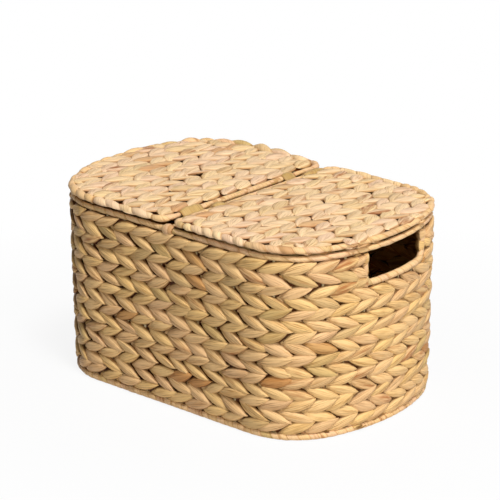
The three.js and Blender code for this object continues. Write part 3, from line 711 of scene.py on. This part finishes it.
def fibre_group():
    """Fibres, streaks, blotches and painted edge shade of a dried leaf, from its own coordinates, tint and
    stain; the strands behind the weave take the blotches as painted shade.
    """
    tree = bpy.data.node_groups.new("leaf_fibre", "ShaderNodeTree")
    sockets = {"Leaf": "NodeSocketVector", "Tint": "NodeSocketFloat", "Stain And Shade": "NodeSocketFloat"}
    for name, kind in sockets.items():
        tree.interface.new_socket(name, in_out="INPUT", socket_type=kind)
    for name in ("Fibre", "Streak", "Blotch And Shade", "Edge"):
        tree.interface.new_socket(name, in_out="OUTPUT", socket_type="NodeSocketFloat")
    inputs = tree.nodes.new("NodeGroupInput")
    outputs = tree.nodes.new("NodeGroupOutput")
    split = tree.nodes.new("ShaderNodeSeparateXYZ")
    tree.links.new(inputs.outputs["Leaf"], split.inputs[0])
    shift = node(tree, "ShaderNodeMath", {1: NOISE_SHIFT}, operation="MULTIPLY")
    tree.links.new(inputs.outputs["Tint"], shift.inputs[0])

    def scaled(axis, factor):
        made = node(tree, "ShaderNodeMath", {1: factor}, operation="MULTIPLY")
        tree.links.new(split.outputs[axis], made.inputs[0])
        return made.outputs[0]

    def stretched(along, across, detail):
        joined = tree.nodes.new("ShaderNodeCombineXYZ")
        tree.links.new(scaled("X", along), joined.inputs["X"])
        tree.links.new(scaled("Y", across), joined.inputs["Y"])
        tree.links.new(shift.outputs[0], joined.inputs["Z"])
        values = {"Scale": 1.0, "Detail": detail, "Roughness": NOISE_ROUGHNESS}
        noise = node(tree, "ShaderNodeTexNoise", values)
        tree.links.new(joined.outputs[0], noise.inputs["Vector"])
        return noise.outputs["Fac"]

    def smooth_step(source, low, high):
        values = {"From Min": low, "From Max": high}
        made = node(tree, "ShaderNodeMapRange", values, interpolation_type="SMOOTHSTEP")
        tree.links.new(source, made.inputs["Value"])
        return made.outputs["Result"]

    tree.links.new(stretched(*FIBRE_NOISE), outputs.inputs["Fibre"])
    tree.links.new(stretched(*STREAK_NOISE), outputs.inputs["Streak"])
    add = node(tree, "ShaderNodeMath", {1: BLOTCH_SHARE}, operation="MULTIPLY_ADD")
    tree.links.new(inputs.outputs["Stain And Shade"], add.inputs[0])
    tree.links.new(stretched(*BLOTCH_NOISE), add.inputs[2])
    tree.links.new(smooth_step(add.outputs[0], *BLOTCH_RANGE), outputs.inputs["Blotch And Shade"])
    # Painted shade across a leaf's width, darkest at its edges
    side = node(tree, "ShaderNodeMath", {1: 0.5}, operation="PINGPONG")
    tree.links.new(split.outputs["Y"], side.inputs[0])
    tree.links.new(smooth_step(side.outputs[0], *PAINTED_EDGE_SHADE_RANGE), outputs.inputs["Edge"])
    return tree


FIBRE = fibre_group()


def leaf_material(name, stops, painted_edge_shade, roughness, bump, grain):
    """Dried leaf: a colour for each leaf, darker fibres and streaks, brown stains, and painted shade at
    its edges and over the strands behind the weave.
    """
    made = bpy.data.materials.new(name)
    made.use_nodes = True
    tree = made.node_tree
    shader = tree.nodes["Principled BSDF"]
    shader.inputs["Specular IOR Level"].default_value = LEAF_GLOSS
    leaf = node(tree, "ShaderNodeUVMap", uv_map="leaf")
    tint = node(tree, "ShaderNodeAttribute", attribute_name="tint")
    stain_and_shade = node(tree, "ShaderNodeAttribute", attribute_name="stain_and_shade")
    fibre = node(tree, "ShaderNodeGroup", node_tree=FIBRE)
    tree.links.new(leaf.outputs[0], fibre.inputs["Leaf"])
    tree.links.new(tint.outputs["Fac"], fibre.inputs["Tint"])
    tree.links.new(stain_and_shade.outputs["Fac"], fibre.inputs["Stain And Shade"])
    base = ramp(tree, stops)
    tree.links.new(tint.outputs["Fac"], base.inputs[0])
    colour = base.outputs[0]
    for output, shades in (("Fibre", GRAIN_STOPS), ("Streak", STREAK_STOPS)):
        shade = ramp(tree, shades)
        tree.links.new(fibre.outputs[output], shade.inputs[0])
        lined = node(tree, "ShaderNodeMix", data_type="RGBA", blend_type="MULTIPLY")
        lined.inputs["Factor"].default_value = grain
        tree.links.new(colour, lined.inputs["A"])
        tree.links.new(shade.outputs[0], lined.inputs["B"])
        colour = lined.outputs["Result"]
    for output, shade, blend in (("Blotch And Shade", BROWN_STAIN_AND_SHADE, "MIX"), ("Edge", painted_edge_shade, "MULTIPLY")):
        darkened = node(tree, "ShaderNodeMix", data_type="RGBA", blend_type=blend)
        darkened.inputs["B"].default_value = (*shade, 1)
        tree.links.new(fibre.outputs[output], darkened.inputs["Factor"])
        tree.links.new(colour, darkened.inputs["A"])
        colour = darkened.outputs["Result"]
    tree.links.new(colour, shader.inputs["Base Color"])
    values = {"To Min": roughness + GLOSS_SPREAD, "To Max": roughness - GLOSS_SPREAD}
    gloss = node(tree, "ShaderNodeMapRange", values)
    tree.links.new(fibre.outputs["Fibre"], gloss.inputs["Value"])
    tree.links.new(gloss.outputs["Result"], shader.inputs["Roughness"])
    relief = node(tree, "ShaderNodeBump", {"Strength": bump, "Distance": FIBRE_HEIGHT})
    tree.links.new(fibre.outputs["Fibre"], relief.inputs["Height"])
    tree.links.new(relief.outputs["Normal"], shader.inputs["Normal"])
    return made


def wire_material():
    """Dull wire, spotted from brown to pale straw."""
    made = bpy.data.materials.new("frame_wire")
    made.use_nodes = True
    tree = made.node_tree
    shader = tree.nodes["Principled BSDF"]
    shader.inputs["Specular IOR Level"].default_value = LEAF_GLOSS
    place = tree.nodes.new("ShaderNodeTexCoord")
    noise = node(tree, "ShaderNodeTexNoise", {"Scale": WIRE_NOISE_SCALE, "Detail": WIRE_NOISE_DETAIL})
    tree.links.new(place.outputs["Object"], noise.inputs["Vector"])
    colour = ramp(tree, WIRE_COLOURS)
    tree.links.new(noise.outputs["Fac"], colour.inputs[0])
    tree.links.new(colour.outputs[0], shader.inputs["Base Color"])
    dull, bright = WIRE_ROUGHNESS
    rough = node(tree, "ShaderNodeMapRange", {"To Min": dull, "To Max": bright})
    tree.links.new(noise.outputs["Fac"], rough.inputs["Value"])
    tree.links.new(rough.outputs["Result"], shader.inputs["Roughness"])
    return made


WALL_LEAF = leaf_material("wall_leaf", WALL_COLOURS, WALL_PAINTED_EDGE_SHADE, roughness=0.55, bump=0.9, grain=0.9)
LID_LEAF = leaf_material("lid_leaf", LID_COLOURS, PAD_PAINTED_EDGE_SHADE, roughness=0.55, bump=0.8, grain=0.7)
LID_TURNS = leaf_material("lid_edge_leaf", LID_COLOURS, PAD_PAINTED_EDGE_SHADE, roughness=0.55, bump=0.25, grain=0.45)
WRAP = leaf_material("leaf_wrap", WRAP_COLOURS, STRIP_PAINTED_EDGE_SHADE, roughness=0.55, bump=0.2, grain=0.45)
STRAP = leaf_material("leaf_strap", STRAP_COLOURS, STRIP_PAINTED_EDGE_SHADE, roughness=0.5, bump=0.3, grain=0.6)
WIRE = wire_material()


# Wall rows

def row_height(row):
    if row < LOWER_ROWS:
        return WALL_BOTTOM + (row + 0.5) * ROW_PITCH
    return UPPER_BOTTOM + (row - LOWER_ROWS + 0.5) * ROW_PITCH


def free_of_holes(low, high):
    """The stretch of a leaf that the hand holes leave, or nothing."""
    for first, last in HOLES:
        middle = (low + high) / 2
        if first + HOLE_BEND < middle < last - HOLE_BEND:
            return None
        if middle < first + HOLE_BEND:
            high = min(high, first + HOLE_KEEP)
        if middle > last - HOLE_BEND:
            low = max(low, last - HOLE_KEEP)
    return low, high


def wall_row(row):
    """One row of leaves outside and inside the wall, with the strands between them."""
    rng = random.Random(f"wall row {row}")
    bm = bmesh.new()
    slope = LEAF_SLOPE if row % 2 == 0 else -LEAF_SLOPE
    reach = LEAF_REACH * STAKE_PITCH / 2
    for surface in (wall_outside, wall_inside):
        for i in range(STAKES):
            stake = (i + 0.5) * STAKE_PITCH
            ends = (stake - reach, stake + reach)
            height = row_height(row)
            if row >= LOWER_ROWS:
                ends = free_of_holes(*ends)
            elif row == LOWER_ROWS - 1 and any(first < stake < last for first, last in HOLES):
                height -= HOLE_SAG
            if ends:
                lay_leaf(bm, surface, *ends, height, slope, rng, WALL_CUT)
    low_z = row_height(row) - ROW_PITCH / 2
    if row < LOWER_ROWS:
        core_band(bm, 0, ROUND, low_z, low_z + ROW_PITCH)
        nodes = ("wall_weave_lower",)
    else:
        core_band(bm, -HOLE_FIRST, HOLE_FIRST, low_z, low_z + ROW_PITCH)
        core_band(bm, HOLE_LAST, ROUND - HOLE_LAST, low_z, low_z + ROW_PITCH)
        nodes = ("wall_weave_upper_front", "wall_weave_upper_back")
    dress(bm, f"wall_row_{row + 1:02d}", "basket", "leaf_weave", WALL_LEAF, *nodes)


# Rods of the basket

def basket_rods():
    """Strips round the rim, the base edge and the crossbar, and the lashings at the crossbar's ends."""
    rng = random.Random("basket rods")
    rim = ring_trail(STAKE_INSET, RIM_Z)
    base = ring_trail(BASE_INSET, BASE_Z)
    bar = straight_trail(Vector((0, -CROSSBAR_END, RIM_Z)), Vector((0, CROSSBAR_END, RIM_Z)), UP)
    for name, trail, turns, unevenness in (
        ("rim", rim, RIM_TURNS, RIM_UNEVENNESS),
        ("base_edge", base, BASE_TURNS, STRIP_UNEVENNESS),
        ("crossbar", bar, CROSSBAR_TURNS, STRIP_UNEVENNESS),
    ):
        strip = wind(trail.length, trail.place, turns, rng, unevenness=unevenness)
        dress(strip, f"{name}_strip", "basket", "leaf_wrap", WRAP, f"{name}_wrap")
    for place, side in (("front", -1), ("back", 1)):
        y = side * (HALF_WIDTH - STAKE_INSET)
        half = LASHING_WIDTH / 2
        run = straight_trail(Vector((-half, y, RIM_Z)), Vector((half, y, RIM_Z)), Vector((0, side, 0)))

        def swollen(along, angle, radius):
            return run.place(along, angle, radius + LASHING_SWELL * belly(along, LASHING_WIDTH))

        strip = wind(LASHING_WIDTH, swollen, LASHING_TURNS, rng, lap=LASHING_LAP)
        name = f"crossbar_lashing_turns_{place}"
        dress(strip, name, "basket", "leaf_wrap", WRAP, f"crossbar_lashing_{place}")


# Hand holes

def hole_folds(side, rng):
    """The rows beside a hand hole turn back round its uprights."""
    bm = bmesh.new()
    turn = math.pi * FOLD_RADIUS
    flip = Vector((side, 1, 1))
    for edge, way in ((HOLE_FIRST, 1), (HOLE_LAST, -1)):

        def surface(around, z, lift):
            if around < 0:
                return flip * wall_outside(edge + way * around, z, FOLD_RADIUS - STAKE_INSET + lift)
            if around > turn:
                run = edge - way * (around - turn)
                return flip * wall_outside(run, z, -FOLD_RADIUS - STAKE_INSET - lift)
            angle = around / FOLD_RADIUS
            out = wall_spot(edge)[1]
            reach = math.cos(angle) * out + math.sin(angle) * way * UP.cross(out)
            return flip * (wall_outside(edge, z, -STAKE_INSET) + (FOLD_RADIUS + lift) * reach)

        for row in range(LOWER_ROWS, LOWER_ROWS + UPPER_ROWS):
            lay_leaf(bm, surface, -FOLD_TAIL, turn + FOLD_TAIL, row_height(row), 0, rng, FOLD_CUT)
    return bm


def hand_holes():
    rng = random.Random("hand holes")
    nodes = ("wall_weave_upper_front", "wall_weave_upper_back")
    for place, side in (("right", 1), ("left", -1)):
        name = f"{place}_hand_hole"
        dress(hole_folds(side, rng), f"{name}_folds", "basket", "leaf_weave", WALL_LEAF, *nodes)
        trail = hole_trail().mirrored(side)
        strip = wind(trail.length, trail.place, HOLE_TURNS, rng)
        dress(strip, f"{name}_strip", "basket", "leaf_wrap", WRAP, f"{name}_wrap")


# Flat woven panels: the floor and the lids

def panel(bm, name, low_x, high_x, rows, reach_at, surfaces):
    """Rows of leaves along Y between two x, each row as long as the panel is wide there."""
    rng = random.Random(name)
    pitch = (high_x - low_x) / rows
    half = LID_LEAF_REACH * LID_LEAF_PITCH / 2
    for surface in surfaces:
        for row in range(rows):
            x = low_x + (row + 0.5) * pitch
            reach = reach_at(x)
            count = int(reach // LID_LEAF_PITCH) + 1
            for i in range(-count - 1, count + 1):
                stake = (i + 0.5) * LID_LEAF_PITCH
                low = max(stake - half, -reach)
                high = min(stake + half, reach)
                if high - low > LID_SHORTEST * half:
                    slope = LID_LEAF_SLOPE if row % 2 == 0 else -LID_LEAF_SLOPE
                    lay_leaf(bm, surface, low, high, x, slope, rng, PANEL_CUT)


def woven_floor():
    bm = bmesh.new()
    inset = BASE_INSET + FLOOR_WEAVE_INSET
    half = HALF_LENGTH - inset

    def reach(x):
        return plan_reach(x, inset)

    faces = (level(FLOOR_TOP), level(FLOOR_BOTTOM + FLOOR_LIFT, -1))
    panel(bm, "floor", -half, half, FLOOR_ROWS, reach, faces)
    core_sheet(bm, -half, half, reach, level(BASE_Z))
    dress(bm, "floor_leaves", "basket", "leaf_weave", WALL_LEAF, "floor_weave")


def lid_reach(x):
    """Half the width of a lid's weave inside its edge."""
    reach = plan_reach(x, LID_WIRE_INSET + EDGE_WEAVE_INSET)
    corner = SEAM_X + SEAM_CORNER
    if x < corner:
        bend = SEAM_CORNER - SEAM_WEAVE_INSET
        reach -= bend - math.sqrt(max(0, bend**2 - (corner - x) ** 2))
    return reach


def lid_weave(name, side):
    bm = bmesh.new()
    faces = (level(LID_TOP, 1, side), level(LID_BOTTOM, -1, side))
    panel(bm, name, LID_WEAVE_X + SEAM_GAP, LID_END_X, LID_ROWS, lid_reach, faces)
    core_sheet(bm, LID_WEAVE_X, LID_END_X, lid_reach, level(LID_Z, 1, side))
    dress(bm, f"{name}_leaves", name, "leaf_weave", LID_LEAF, f"{name}_weave")


def lid_edge(trail, turns, rng, unevenness=STRIP_UNEVENNESS, slim=0.0):
    """Fat leaf turns round a lid's edge, flatter beneath to lie on the rim, slimmer past a seam corner."""
    squash = min(1, (LID_Z - LID_BOTTOM - LID_GAP) / turns[0])

    def squashed(along, angle, radius):
        past = clamp((along - SEAM_BEND) / SEAM_CORNER, 0, 1)
        spot = trail.place(along, angle, radius * (1 - slim * past))
        if spot.z < LID_Z:
            spot.z = LID_Z + squash * (spot.z - LID_Z)
        return spot

    return wind(trail.length, squashed, turns, rng, unevenness=unevenness, mesh=EDGE_MESH)


def lid_border(name, side, rng):
    """Turns of the weave along a lid's straight edges, and a strip round its corners and its end."""
    start_x = SEAM_X + SEAM_CORNER + EDGE_TAIL
    turn_x = CORNER_X - EDGE_TAIL
    back_turn = 2 * QUARTER - turn_x
    for place, low, high in (("front", start_x, turn_x), ("back", back_turn, 2 * QUARTER - start_x)):
        edge = ring_trail(LID_WIRE_INSET, LID_Z, low, high).mirrored(side)
        turns = lid_edge(edge, LID_EDGES[name, place], rng)
        dress(turns, f"{name}_{place}_edge_turns", name, "leaf_weave", LID_TURNS, f"{name}_weave")
    for place, low, high in (
        ("front_corner", turn_x, turn_x + CORNER_TURNS),
        ("end", turn_x + CORNER_TURNS, back_turn - CORNER_TURNS),
        ("back_corner", back_turn - CORNER_TURNS, back_turn),
    ):
        edge = ring_trail(LID_WIRE_INSET, LID_Z, low, high).mirrored(side)
        turns = lid_edge(edge, LID_EDGES[name, place], rng, END_UNEVENNESS)
        dress(turns, f"{name}_{place}_strip", name, "leaf_wrap", WRAP, f"{name}_end_wrap")


def lid_seam(name, side, rng):
    """Strips round a lid's seam rod, in front of, between and behind its two straps."""
    front_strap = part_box(f"{name}_strap_front")
    back_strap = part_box(f"{name}_strap_back")
    rod = Vector((side * SEAM_X, 0, LID_Z))
    middle_start = rod + Vector((0, front_strap[1].y + STRAP_GAP, 0))
    middle_end = rod + Vector((0, back_strap[0].y - STRAP_GAP, 0))
    trails = {
        "front": seam_corner_trail(True, front_strap[0].y - STRAP_GAP).mirrored(side),
        "middle": straight_trail(middle_start, middle_end, Vector((-side, 0, 0))),
        "back": seam_corner_trail(False, back_strap[1].y + STRAP_GAP).mirrored(side),
    }
    for place, trail in trails.items():
        slim = 0.0 if place == "middle" else SEAM_SLIM
        strip = lid_edge(trail, SEAM_TURNS[place], rng, slim=slim)
        dress(strip, f"{name}_seam_strip_{place}", name, "leaf_wrap", WRAP, f"{name}_seam_wrap_{place}")


def lid(name, side):
    lid_weave(name, side)
    rng = random.Random(name + " edges")
    lid_border(name, side, rng)
    lid_seam(name, side, rng)


# Straps

def strap(name, side):
    """Leaf turns round the crossbar and a lid's seam rod."""
    low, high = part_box(name)
    bar = Vector((0, RIM_Z))
    rod = Vector((side * SEAM_X, LID_Z))
    bar_radius = ROD_RADIUS + STRAP_ON_BAR
    rod_radius = WIRE_RADIUS + STRAP_ON_ROD
    width = high.y - low.y

    def place(along, angle, lift):
        lift += STRAP_SWELL * belly(along, width)
        way = Vector((math.cos(angle), math.sin(angle)))
        on_bar = bar.dot(way) + bar_radius
        on_rod = rod.dot(way) + rod_radius
        if on_bar > on_rod:
            spot = bar + way * (bar_radius + lift)
        else:
            spot = rod + way * (rod_radius + lift)
        return Vector((spot.x, low.y + along, spot.y))

    rng = random.Random(name)
    strip = wind(width, place, STRAP_TURNS, rng, lap=STRAP_LAP, mesh=STRAP_MESH)
    dress(strip, f"{name}_turns", "basket", "leaf_strap", STRAP, name)


# Studio

def aim(thing, place, target):
    thing.location = place
    thing.rotation_euler = (Vector(target) - Vector(place)).to_track_quat("-Z", "Y").to_euler()


def stand_camera():
    camera = bpy.data.objects.new("camera", bpy.data.cameras.new("camera"))
    bpy.context.scene.collection.objects.link(camera)
    camera.data.lens = LENS
    camera.data.sensor_width = SENSOR_WIDTH
    aim(camera, EYE, TARGET)
    bpy.context.scene.camera = camera


def softbox(name, azimuth, elevation, size, power):
    lamp = bpy.data.objects.new(name, bpy.data.lights.new(name, "AREA"))
    lamp.data.shape = "DISK"
    lamp.data.size = size
    lamp.data.energy = power
    bpy.context.scene.collection.objects.link(lamp)
    flat = math.cos(elevation)
    way = Vector((math.sin(azimuth) * flat, -math.cos(azimuth) * flat, math.sin(elevation)))
    aim(lamp, way * LAMP_DISTANCE, LAMP_TARGET)


def direct_sight(tree):
    """1 for rays that see the white surroundings: from the camera, off a gloss or through glass."""
    light_path = tree.nodes.new("ShaderNodeLightPath")
    seen = light_path.outputs["Is Camera Ray"]
    for kind in ("Is Glossy Ray", "Is Transmission Ray"):
        either = node(tree, "ShaderNodeMath", operation="MAXIMUM")
        tree.links.new(seen, either.inputs[0])
        tree.links.new(light_path.outputs[kind], either.inputs[1])
        seen = either.outputs[0]
    return seen


def paper_material():
    """White paper that shows the shadow of the basket around it."""
    made = bpy.data.materials.new("white_paper")
    made.use_nodes = True
    tree = made.node_tree
    shader = tree.nodes["Principled BSDF"]
    shader.inputs["Base Color"].default_value = PAPER_COLOUR
    shader.inputs["Roughness"].default_value = PAPER_ROUGHNESS
    shader.inputs["Specular IOR Level"].default_value = 0.0
    glow = tree.nodes.new("ShaderNodeEmission")
    place = tree.nodes.new("ShaderNodeTexCoord")
    distance = node(tree, "ShaderNodeVectorMath", operation="LENGTH")
    tree.links.new(place.outputs["Object"], distance.inputs[0])
    near, far = GLOW_DISTANCES
    least, most = GLOW_SHARES
    values = {"From Min": near, "From Max": far, "To Min": least, "To Max": most}
    fade = node(tree, "ShaderNodeMapRange", values)
    tree.links.new(distance.outputs["Value"], fade.inputs["Value"])
    share = node(tree, "ShaderNodeMath", operation="MULTIPLY")
    tree.links.new(direct_sight(tree), share.inputs[0])
    tree.links.new(fade.outputs["Result"], share.inputs[1])
    mix = tree.nodes.new("ShaderNodeMixShader")
    tree.links.new(share.outputs[0], mix.inputs[0])
    tree.links.new(shader.outputs[0], mix.inputs[1])
    tree.links.new(glow.outputs[0], mix.inputs[2])
    tree.links.new(mix.outputs[0], tree.nodes["Material Output"].inputs["Surface"])
    return made


def lay_paper():
    bm = bmesh.new()
    bmesh.ops.create_grid(bm, x_segments=1, y_segments=1, size=PAPER_HALF)
    mesh = bpy.data.meshes.new("floor")
    bm.to_mesh(mesh)
    bm.free()
    mesh.materials.append(paper_material())
    floor = bpy.data.objects.new("floor", mesh)
    bpy.context.scene.collection.objects.link(floor)


def surround():
    """White to the eye and in reflections, and no light of its own."""
    world = bpy.data.worlds.new("studio")
    bpy.context.scene.world = world
    world.use_nodes = True
    tree = world.node_tree
    back = tree.nodes["Background"]
    back.inputs["Color"].default_value = WHITE
    tree.links.new(direct_sight(tree), back.inputs["Strength"])
    bpy.context.scene.view_settings.view_transform = "Standard"


stand_camera()
for lamp_name, lamp_values in SOFTBOXES.items():
    softbox(lamp_name, *lamp_values)
lay_paper()
surround()
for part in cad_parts.values():
    part.data.materials.clear()
    part.data.materials.append(WIRE)
for wall_row_number in range(LOWER_ROWS + UPPER_ROWS):
    wall_row(wall_row_number)
basket_rods()
hand_holes()
woven_floor()
lid("left_lid", -1)
lid("right_lid", 1)
for strap_name, strap_side in STRAPS.items():
    strap(strap_name, strap_side)

bpy.context.view_layer.update()
